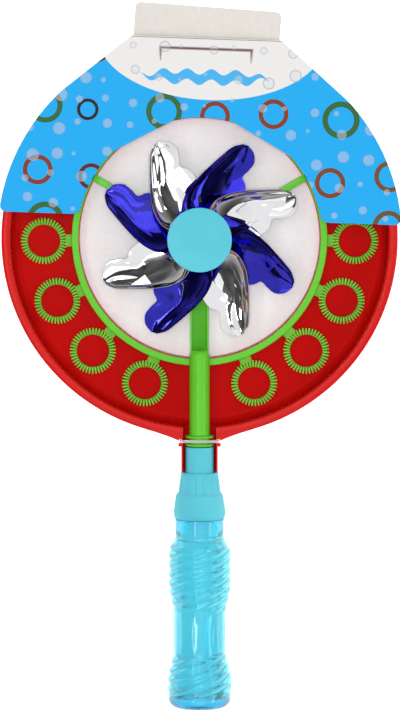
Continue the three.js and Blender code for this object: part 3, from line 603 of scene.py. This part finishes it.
# Tray
def tray_shell():
    wall_foot = TRAY_RADIUS - RIM_WIDTH - TRAY_LEAN
    wall_head = TRAY_RADIUS - RIM_WIDTH
    hole_wall = TRAY_HOLE_RADIUS + TRAY_WALL
    under = TRAY_FLOOR - TRAY_WALL
    rim_under = RIM_TOP - TRAY_WALL
    corners = [
        (TRAY_HOLE_RADIUS, TRAY_BASE),
        (hole_wall, TRAY_BASE),
        (hole_wall, under),
        (TRAY_FOOT_RADIUS - TRAY_WALL, under),
        (TRAY_FOOT_RADIUS - TRAY_WALL, TRAY_BASE),
        (TRAY_FOOT_RADIUS, TRAY_BASE),
        (TRAY_FOOT_RADIUS, under),
        (wall_foot, under),
        (wall_foot + TRAY_WALL, TRAY_FLOOR),
        (wall_head + TRAY_WALL, rim_under),
        (TRAY_RADIUS - TRAY_WALL, rim_under),
        (TRAY_RADIUS - TRAY_WALL, RIM_TOP - RIM_DROP),
        (TRAY_RADIUS, RIM_TOP - RIM_DROP),
    ]
    steps = 8
    for step in range(steps + 1):
        angle = pi * step / steps
        radius = TRAY_RADIUS - RIM_WIDTH / 2 * (1 - cos(angle))
        corners.append((radius, RIM_TOP - RIM_CROWN * (1 - sin(angle))))
    for step in range(steps + 1):
        angle = pi / 2 * step / steps
        radius = wall_foot - FILLET_WIDTH * (1 - cos(angle))
        corners.append((radius, TRAY_FLOOR + FILLET_HEIGHT * (1 - sin(angle))))
    corners += [
        (hole_wall, TRAY_FLOOR),
        (hole_wall, INNER_WALL_TOP),
        (TRAY_HOLE_RADIUS, INNER_WALL_TOP),
    ]
    return turned(rounded(corners, 1.0, 3), 192)


def channel(half_width, top, y_low, y_high):
    """A trough with a half-round bottom along the wand's axis, as a filled block."""
    outline = [(half_width, top)]
    steps = 24
    for step in range(steps + 1):
        angle = -pi * step / steps
        outline.append((half_width * cos(angle), AXIS_HEIGHT + half_width * sin(angle)))
    outline.append((-half_width, top))
    points, faces = prism(outline, 0, y_high - y_low)
    return [(x, y_high - depth, z) for x, z, depth in points], faces


def make_tray():
    wall_top = RIM_TOP - GAP
    inside = -TRAY_RADIUS + RIM_WIDTH + TRAY_LEAN
    ear_end = -TRAY_RADIUS - CRADLE_EAR_PLACE
    ear = CRADLE_OUTER + CRADLE_EAR
    ear_corner = (-ear, ear_end - CRADLE_EAR_LENGTH, wall_top - CRADLE_EAR_HEIGHT)
    tip = CRADLE_OUTER + STRAP_THICKNESS + 2 * GAP
    far = tip + FAIRING_REACH
    root = -sqrt(TRAY_RADIUS**2 - far**2)
    bend = tip + FAIRING_BEND
    bend_drop = root + (far - bend) * far / root
    drop = -TRAY_RADIUS - FAIRING_DROP
    right = sweep(Vector((tip, drop)), Vector((bend, bend_drop)), Vector((far, root)), 8)
    left = [(-x, y) for x, y in reversed(right)]
    strap_notch = [(-tip, STRAP_NEAR + GAP), (tip, STRAP_NEAR + GAP)]
    additions = [
        channel(CRADLE_OUTER, wall_top, CRADLE_END, inside - TRAY_WALL),
        soft_box(ear_corner, (ear, ear_end, wall_top), 0.3),
        prism(left + strap_notch + right, RIM_TOP - RIM_DROP, wall_top),
    ]
    cutter = channel(CRADLE_INNER, RIM_TOP + TRAY_WALL, CRADLE_END - GAP, inside + RIM_WIDTH)
    body = object_of("red_tray", mesh_of("red_tray", [tray_shell()]))
    for addition in additions:
        combined(body, object_of("addition", mesh_of("addition", [addition])), "UNION")
    combined(body, object_of("cutter", mesh_of("cutter", [cutter])), "DIFFERENCE")
    smooth(body.data)
    stand_for(body, "tray", "tray", RED)


# Wand
def stem_profile():
    profile = [(STEM_START, 0)]
    steps = 8
    for step in range(1, steps + 1):
        angle = pi / 2 * step / steps
        place = STEM_START - STEM_NOSE * (1 - cos(angle))
        profile.append((place, STEM_RADIUS - STEM_NOSE * (1 - sin(angle))))
    for place in COLLAR_PLACES:
        for share, lift in [(0, 0), (0.1, 0.7), (0.3, 1), (0.7, 1), (0.9, 0.7), (1, 0)]:
            radius = mixed(STEM_RADIUS, COLLAR_RADIUS, lift)
            profile.append((place - share * COLLAR_THICKNESS, radius))
    collar_end = COLLAR_PLACES[1] - COLLAR_THICKNESS
    profile += [(collar_end - GAP, PLUG_RADIUS), (PLUG_END, PLUG_RADIUS), (PLUG_END, 0)]
    return profile


def make_wand():
    ring = [
        (RING_INNER, SPOKE_BASE),
        (RING_WEB_INNER, SPOKE_BASE),
        (RING_WEB_INNER, WAND_BASE),
        (RING_OUTER, WAND_BASE),
        (RING_OUTER, RING_TOP),
        (RING_INNER, RING_TOP),
    ]
    reach = (RING_INNER + RING_OUTER) / 2
    half = SPOKE_WIDTH / 2
    spoke = soft_box((0, -half, SPOKE_BASE), (reach, half, RING_TOP), 0.4)
    bar_floor = soft_box((-BAR_HALF, -reach, SPOKE_BASE), (BAR_HALF, 0, SPOKE_BASE + BAR_FLOOR), 0.3)
    flange_inner = BAR_HALF - BAR_FLANGE
    left_flange = soft_box((-BAR_HALF, -reach, SPOKE_BASE), (-flange_inner, 0, RING_TOP), 0.3)
    right_flange = soft_box((flange_inner, -reach, SPOKE_BASE), (BAR_HALF, 0, RING_TOP), 0.3)
    post_half = STEM_RADIUS / 2
    post = soft_box((-post_half, -reach, SPOKE_BASE), (post_half, STEM_START - STEM_NOSE, AXIS_HEIGHT), 0.2)
    stem_top = AXIS_HEIGHT + STEM_RADIUS
    gate_pin = washer(0.4, 1.5, stem_top - 1, stem_top + 0.5, 0.2)
    gate_place = (0, STEM_START - 5.9)
    parts = [
        turned(rounded(ring, 0.5), 192),
        *[turned_about(spoke, angle) for angle in SPOKE_ANGLES],
        bar_floor,
        left_flange,
        right_flange,
        post,
        turned(washer(AXLE_BORE, BOSS_RADIUS, SPOKE_BASE, BOSS_TOP, 0.4), 64),
        turned_along(stem_profile(), 64),
        turned(gate_pin, 24, gate_place),
    ]
    mesh = mesh_of("green_wand", parts, 0.0005)
    smooth(mesh)
    stand_for(object_of("green_wand", mesh), "wand_frame", "wand", GREEN)


def loop_parts():
    """A bubble loop on the x axis: a thin ring, radial fins and a tab to the wand's ring."""
    fins = 42
    fin_half = 0.5
    fin_root = LOOP_INNER + 0.05
    core_outer = LOOP_INNER + 2.8
    core_drop = 2.3
    tab_half = LOOP_TAB_WIDTH / 2
    top = WAND_BASE + LOOP_HEIGHT
    core = washer(LOOP_INNER, core_outer, WAND_BASE + 0.1, top - core_drop, 0.3)
    parts = [turned(core, 92, (LOOP_PLACE_RADIUS, 0))]
    fin = soft_box((fin_root, -fin_half, WAND_BASE), (LOOP_TIP, fin_half, top), 0.35)
    to_place = Matrix.Translation((LOOP_PLACE_RADIUS, 0, 0))
    for index in range(fins):
        parts.append(moved(fin, to_place @ Matrix.Rotation(TURN * index / fins, 4, "Z")))
    tab_end = LOOP_PLACE_RADIUS - LOOP_TIP + 1.2
    tab = soft_box((RING_OUTER - 0.5, -tab_half, WAND_BASE), (tab_end, tab_half, top - 1.1), 0.3)
    parts.append(tab)
    return parts


def make_loops():
    step = (TURN - 2 * LOOP_FIRST_ANGLE) / (LOOP_COUNT - 1)
    parts = loop_parts()
    for index in range(LOOP_COUNT):
        name = f"bubble_loop_{index + 1:02d}"
        angle = LOOP_FIRST_ANGLE + index * step - pi / 2
        mesh = mesh_of(f"finned_{name}", [turned_about(part, angle) for part in parts], 0.0005)
        smooth(mesh)
        stand_for(object_of(f"finned_{name}", mesh), name, "wand", RIB_GREEN)


# Handle
def ribbed(radius, depth):
    """A radius with wide ribs and narrow grooves between them."""
    return lambda angle: radius - depth * max(0, -cos(CAP_RIBS * angle)) ** 6


def make_cap():
    groove = 0.7
    sleeve_edge = 0.4
    cone_edge = 0.5
    plug_bore = PLUG_RADIUS + GAP
    finish_bore = FINISH_RADIUS + GAP
    profile = [
        (PLUG_END - GAP, 0),
        (PLUG_END - GAP, plug_bore),
        (SLEEVE_TOP, plug_bore),
        (SLEEVE_TOP, SLEEVE_RADIUS - sleeve_edge),
        (SLEEVE_TOP - sleeve_edge, SLEEVE_RADIUS),
        (CONE_TOP, SLEEVE_RADIUS),
        (CONE_TOP, CONE_TOP_RADIUS - cone_edge),
        (CONE_TOP - cone_edge, CONE_TOP_RADIUS),
        (CONE_TOP - 2.8, 11.95),
        (CONE_TOP - 3.6, ribbed(12.05, groove)),
        (SKIRT_TOP + 0.4, ribbed(CONE_END_RADIUS, groove)),
        (SKIRT_TOP, 13.4),
        (SKIRT_TOP - 0.5, 14.1),
        (SKIRT_TOP - 2, 14.7),
        (CAP_END + 5.2, 16.1),
        (CAP_END + 4, SKIRT_RADIUS),
        (CAP_END + 2.8, 16.1),
        (CAP_END + 0.4, 15.4),
        (CAP_END, 15.0),
        (CAP_END, 13.2),
        (SKIRT_ROOF, 12.6),
        (SKIRT_ROOF, finish_bore),
        (CAP_BULKHEAD, finish_bore),
        (CAP_BULKHEAD, 0),
    ]
    mesh = mesh_of("screw_cap", [turned_along(profile, 168)])
    smooth(mesh, 40)
    stand_for(object_of("screw_cap", mesh), "handle_cap", "wand", PALE_BLUE)


FLARE_RADIUS = 19.6

# Radius of the bottle at shares of its length, from the cap down, and where it has ridges, flutes and room
BOTTLE_OUTLINE = [
    (0, 15.2),
    (0.09, 15.2),
    (0.17, 19),
    (0.34, 19),
    (0.51, 16.1),
    (0.7, 16.1),
    (0.86, FLARE_RADIUS),
    (1, FLARE_RADIUS),
]
RIDGED = [(0.11, 0.5), (0.695, 0.945)]
FLUTED = (0.51, 0.7)
HOLLOW = (0.1, 0.94)
RIDGE = 0.5
RIDGE_FADE = 6
RIDGE_STARTS = 7
RIDGE_LEAD = 42
FLUTES = 18
FLUTE = 0.1
THREAD_PITCH = 4
THREAD_DEPTH = 0.9
THREADED = (-154.5, -170.5)
NECK_LINE = 10
NECK_GROOVE = 0.4
NECK_GROOVE_HALF = 0.7


def bottle_radius(depth):
    share = depth / BOTTLE_LENGTH
    for (near, near_radius), (far, far_radius) in zip(BOTTLE_OUTLINE, BOTTLE_OUTLINE[1:]):
        if share <= far:
            return mixed(near_radius, far_radius, smoothstep(share, near, far))
    return FLARE_RADIUS


def faded(depth, shares):
    """One between two shares of the bottle's length, fading to nothing at both ends."""
    start, end = [share * BOTTLE_LENGTH for share in shares]
    rise = smoothstep(depth, start, start + RIDGE_FADE)
    fall = 1 - smoothstep(depth, end - RIDGE_FADE, end)
    return min(rise, fall)


def bottle_ring(depth, sides):
    """A ring of the bottle's outside, with twisted ridges or shallow upright flutes."""
    mean = bottle_radius(depth)
    ridge = RIDGE * max(faded(depth, shares) for shares in RIDGED)
    flute = FLUTE * faded(depth, FLUTED)
    mean -= NECK_GROOVE * max(0, 1 - abs(depth - NECK_LINE) / NECK_GROOVE_HALF)
    twist = TURN * depth / RIDGE_LEAD

    def radius(angle):
        return mean + ridge * cos(RIDGE_STARTS * (angle + twist)) + flute * cos(FLUTES * angle)

    return ring_along(BOTTLE_TOP - depth, radius, sides)


def finish_ring(place, sides):
    """A ring of the bottle's finish, whose thread stands as high as the finish and fades at both ends."""
    start, end = THREADED
    fade = THREAD_PITCH / 4
    depth = THREAD_DEPTH * min(smoothstep(start - place, 0, fade), smoothstep(place - end, 0, fade))

    def radius(angle):
        crest = smoothstep(cos(angle - TURN * place / THREAD_PITCH), 0.2, 0.7)
        return FINISH_RADIUS - depth * (1 - crest)

    return ring_along(place, radius, sides)


def hollow_profile(inset):
    """The inside of the bottle from its shoulder to its floor, a little in from the wall."""
    start, end = [share * BOTTLE_LENGTH for share in HOLLOW]
    floor_radius = 13.6
    floor_corner = 1
    floor_rise = 1.5
    profile = []
    rows = 60
    for row in range(rows + 1):
        depth = mixed(start, end, row / rows)
        profile.append((BOTTLE_TOP - depth, bottle_radius(depth) - RIDGE - inset))
    floor = BOTTLE_END + inset + BOTTLE_WALL
    profile.append((floor + floor_rise, floor_radius - inset))
    profile.append((floor, floor_radius - floor_corner - inset))
    profile.append((floor, 0))
    return profile


def make_bottle():
    sides = 126
    rows = 320
    finish_rows = 60
    corner_steps = 8
    corner_start = BOTTLE_LENGTH - BASE_CORNER
    rings = [ring_along(place, radius, sides) for place, radius in reversed(hollow_profile(BOTTLE_WALL))]
    bore = FINISH_RADIUS - 2 * BOTTLE_WALL
    for place in (BOTTLE_TOP, FINISH_TOP):
        rings.append(ring_along(place, bore, sides))
    for row in range(finish_rows + 1):
        rings.append(finish_ring(mixed(FINISH_TOP, BOTTLE_TOP, row / finish_rows), sides))
    for row in range(rows + 1):
        rings.append(bottle_ring(corner_start * row / rows, sides))
    for step in range(1, corner_steps + 1):
        angle = pi / 2 * step / corner_steps
        place = BOTTLE_TOP - corner_start - BASE_CORNER * sin(angle)
        rings.append(ring_along(place, FLARE_RADIUS - BASE_CORNER * (1 - cos(angle)), sides))
    rings.append(ring_along(BOTTLE_END, 0, sides))
    mesh = mesh_of("twisted_bottle", [skin(rings)])
    smooth(mesh, 50)
    stand_for(object_of("twisted_bottle", mesh), "bottle", "bottle", BOTTLE_BLUE)


def make_solution():
    profile = hollow_profile(BOTTLE_WALL + GAP)
    profile.insert(0, (profile[0][0], 0))
    mesh = mesh_of("soap_solution", [turned_along(profile, 96)])
    smooth(mesh, 50)
    stand_for(object_of("soap_solution", mesh), "bubble_solution", "solution", SOLUTION)


# Pinwheel
BLADE_LOW_EDGE = [
    (17, -10.6),
    (33, -12.6),
    (41.5, -10.8),
    (46, -6.4),
    (51, -7.8),
    (57, -8.8),
    (62.4, -5.8),
    (65, -0.6),
]
BLADE_HIGH_EDGE = [
    (10.5, 13),
    (18, 18),
    (27, 19),
    (36, 17.2),
    (44, 14.4),
    (53, 10.8),
    (60, 7.4),
    (64.3, 2.6),
]
BLADES = 8
BLADE_TIP_ANGLE = radians(63)
SILVER_LEAD = radians(5)
BLADE_CURL = radians(75)
BLADE_RISE = 12.4
BLADE_TIP_RISE = 2.4
BLADE_SHEET = 0.4
CREASE_HEIGHT = 0.6
EAR_LAG = radians(30)
EAR_PLACE_RADIUS = 21.5


def blade_angle(index):
    return BLADE_TIP_ANGLE + TURN * index / BLADES + index % 2 * SILVER_LEAD


def spline(points, share):
    """A point on the smooth curve through the points."""
    points = [Vector(point) for point in points]
    last = len(points) - 1
    index = min(int(share * last), last - 1)
    t = share * last - index
    p0 = points[max(index - 1, 0)]
    p1 = points[index]
    p2 = points[index + 1]
    p3 = points[min(index + 2, last)]
    v0 = (p2 - p0) / 2
    v1 = (p3 - p1) / 2
    return (2 * p1 - 2 * p2 + v0 + v1) * t**3 + (3 * p2 - 3 * p1 - 2 * v0 - v1) * t**2 + v0 * t + p1


def blade_point(out, over):
    """A point of a blade's middle surface: out to the tip, over from low to raised edge."""
    bend = over * BLADE_CURL
    across = sin(bend) / sin(BLADE_CURL)
    lift = (1 - cos(bend)) / (1 - cos(BLADE_CURL))
    plan = mixed(spline(BLADE_LOW_EDGE, out), spline(BLADE_HIGH_EDGE, out), across)
    rise = mixed(BLADE_RISE, BLADE_TIP_RISE, out)
    return Vector((plan.x, plan.y, BLADE_BASE + rise * lift))


def blade_normal(out, over):
    step = 0.01
    along = blade_point(min(out + step, 1), over) - blade_point(max(out - step, 0), over)
    across = blade_point(out, min(over + step, 1)) - blade_point(out, max(over - step, 0))
    return along.cross(across).normalized()


def fold(place):
    """A zigzag between minus a half and a half."""
    return abs(2 * (place % 1) - 1) - 0.5


def crease(out, over, index):
    """How far the film's lengthwise creases lift it off its curl, differently on each blade."""
    start = index * 0.618
    wide = fold(1.7 * over + 0.6 * out + start)
    narrow = fold(3.9 * over - 0.4 * out + 2 * start)
    from_ends = smoothstep(out, 0.1, 0.35) * smoothstep(1 - out, 0, 0.2)
    from_edges = smoothstep(min(over, 1 - over), 0, 0.2)
    return CREASE_HEIGHT * (wide + 0.4 * narrow) * from_ends * from_edges


def blade_part(index):
    """A curled and creased sheet as one closed skin, front and back."""
    rows, columns = 64, 40
    shares = [column / columns for column in range(columns + 1)]
    rings = []
    for row in range(rows + 1):
        out = row / rows
        front, back = [], []
        for over in shares:
            point, normal = blade_point(out, over), blade_normal(out, over)
            lift = crease(out, over, index)
            front.append(point + normal * (lift + BLADE_SHEET / 2))
            back.append(point + normal * (lift - BLADE_SHEET / 2))
        rings.append(front + back[::-1])
    points, faces = skin(rings)
    size = 2 * (columns + 1)
    for ring in (0, rows):
        for column in range(columns):
            here = ring * size + column
            there = ring * size + size - 1 - column
            faces.append((here, here + 1, there - 1, there))
    return points, faces


def mark_plan(mesh, index):
    """Keeps each point's place on its own blade, in millimetres, for the film's creases."""
    blade_pitch = 100
    to_blade = Matrix.Rotation(-blade_angle(index), 4, "Z") @ TO_ROW.inverted()
    layer = mesh.uv_layers.new(name="plan")
    for loop in mesh.loops:
        place = to_blade @ mesh.vertices[loop.vertex_index].co
        layer.data[loop.index].uv = (place.x + blade_pitch * index, place.y)


def make_blades():
    for index in range(BLADES):
        color = "silver" if index % 2 else "blue"
        node = f"foil_blade_{color}_{index // 2 + 1}"
        mesh = mesh_of(f"curled_{node}", [turned_about(blade_part(index), blade_angle(index))], 0.001)
        mark_plan(mesh, index)
        smooth(mesh, 50)
        look = SILVER_FILM if index % 2 else BLUE_FILM
        stand_for(object_of(f"curled_{node}", mesh), node, "rotor", look)


def make_hub():
    plate = washer(AXLE_BORE, HUB_PLATE_RADIUS, HUB_BASE, EAR_TOP, 0.3)
    barrel_foot = EAR_TOP - 0.8
    barrel = washer(HUB_POCKET_RADIUS, HUB_BARREL_RADIUS, barrel_foot, CAP_DISC_BASE - GAP, 0.2)
    parts = [turned(plate, 96), turned(barrel, 48)]
    for index in range(BLADES):
        angle = blade_angle(index) - EAR_LAG
        centre = (EAR_PLACE_RADIUS * cos(angle), EAR_PLACE_RADIUS * sin(angle))
        for radius, top in [(EAR_RADIUS, EAR_TOP), (PEG_RADIUS, EAR_TOP + PEG_HEIGHT)]:
            parts.append(turned(washer(0.01, radius, HUB_BASE, top, 0.3), 32, centre))
    mesh = mesh_of("rear_hub", parts, 0.0005)
    smooth(mesh)
    stand_for(object_of("rear_hub", mesh), "rotor_hub", "rotor", PALE_BLUE)


def make_hub_cap():
    top = CAP_DISC_BASE + CAP_DISC
    plug = HUB_POCKET_RADIUS - GAP
    middle = 0.01
    profile = [
        (middle, CAP_PLUG_BASE),
        (plug, CAP_PLUG_BASE),
        (plug, CAP_DISC_BASE),
        (CAP_DISC_RADIUS, CAP_DISC_BASE),
        (CAP_DISC_RADIUS, top),
        (middle, top),
    ]
    mesh = mesh_of("front_hub", [turned(rounded(profile, CAP_DISC_EDGE), 128)], 0.03)
    smooth(mesh)
    stand_for(object_of("front_hub", mesh), "rotor_cap", "rotor", PALE_BLUE)


# Header card
def make_card_panel():
    """The printed panel, with the slit round its tongue drawn in to a fine line."""
    mesh = nodes["card_front"].data.copy()
    to_card = Matrix.Rotation(-CARD_SKEW, 4, "Z") @ TO_ROW.inverted()
    half = TONGUE_WIDTH / 2
    near = 0.01
    for vertex in mesh.vertices:
        place = to_card @ vertex.co
        on_side = abs(abs(place.x) - half + TONGUE_SLIT) < near
        if on_side and TONGUE_FOOT - near < place.y < TONGUE_TOP:
            place.x *= (half - TONGUE_LINE) / (half - TONGUE_SLIT)
            if place.y > TONGUE_FOOT + near:
                place.y = TONGUE_TOP - TONGUE_LINE
            vertex.co = to_card.inverted() @ place
    stand_for(object_of("printed_panel", mesh), "card_front", "flap", PRINTED_CARD)


make_tray()
make_wand()
make_loops()
make_cap()
make_bottle()
make_solution()
make_blades()
make_hub()
make_hub_cap()
make_card_panel()

# Solids that are shown as they are
for node, look in [
    ("card_back", PALE_CARD),
    ("retaining_strap", CLEAR),
    ("cap_liner", SEAL),
    ("rotor_washer", SEAL),
    ("rotor_axle", STEEL),
]:
    nodes[node].data.materials.clear()
    nodes[node].data.materials.append(look)


# Floor, light and camera
def make_floor():
    look = Look("floor", Roughness=0.9, Specular_IOR_Level=0.1, Emission_Strength=0.8)
    look.set("Emission Color", (1, 1, 1, 1))
    look.set("Base Color", srgb(250, 250, 250))
    half = 4
    corners = [(-half, -half, 0), (half, -half, 0), (half, half, 0), (-half, half, 0)]
    mesh = bpy.data.meshes.new("floor")
    mesh.from_pydata(corners, [], [(0, 1, 2, 3)])
    mesh.materials.append(look.material)
    floor = object_of("floor", mesh)
    floor.location.z = -0.0005


def softbox(name, place, size, power):
    light = bpy.data.lights.new(name, "AREA")
    light.shape = "RECTANGLE"
    light.size, light.size_y = size
    light.energy = power
    lamp = bpy.data.objects.new(name, light)
    bpy.context.scene.collection.objects.link(lamp)
    lamp.location = place
    lamp.rotation_euler = (-Vector(place)).to_track_quat("-Z", "Y").to_euler()
    return lamp


def make_light():
    world = bpy.data.worlds.new("studio")
    world.use_nodes = True
    tree = world.node_tree
    coords = tree.nodes.new("ShaderNodeTexCoord")
    axes = tree.nodes.new("ShaderNodeSeparateXYZ")
    ramp = tree.nodes.new("ShaderNodeValToRGB")
    tree.links.new(coords.outputs["Generated"], axes.inputs["Vector"])
    tree.links.new(axes.outputs["Z"], ramp.inputs["Fac"])
    tree.links.new(ramp.outputs["Color"], tree.nodes["Background"].inputs["Color"])
    sky = [(0.0, 0.45), (0.35, 0.32), (0.55, 0.12), (0.72, 0.04), (0.9, 0.12), (0.94, 0.85)]
    while len(ramp.color_ramp.elements) < len(sky):
        ramp.color_ramp.elements.new(0.5)
    for element, (height, glow) in zip(ramp.color_ramp.elements, sky):
        element.position = height
        element.color = (glow, glow, glow, 1)
    bpy.context.scene.world = world
    softbox("head", (0, 1.1, 3.0), (2.6, 1.5), 14)
    softbox("foot", (0, -1.7, 2.8), (2.6, 1.3), 9)
    softbox("left", (-0.95, 0, 2.5), (1.4, 0.12), 6)
    softbox("right", (2.0, 0, 1.6), (1.8, 0.6), 9)
    front = softbox("front", (0, 0.2, 2.9), (0.4, 0.4), 39)
    front.visible_glossy = False
    bpy.context.scene.view_settings.view_transform = "Standard"


def make_camera():
    """The photograph's view: nearly square on, from a little towards the hang tab."""
    target = Vector((-0.0003, 0.0006, 0.015))
    lean = radians(4.6)
    distance = 2.5
    covered = 0.441
    data = bpy.data.cameras.new("camera")
    data.sensor_fit = "VERTICAL"
    data.sensor_height = 24
    data.lens = data.sensor_height * distance / covered
    camera = bpy.data.objects.new("camera", data)
    bpy.context.scene.collection.objects.link(camera)
    camera.location = target + distance * Vector((0, sin(lean), cos(lean)))
    camera.rotation_euler = (-lean, 0, 0)
    bpy.context.scene.camera = camera


make_floor()
make_light()
make_camera()
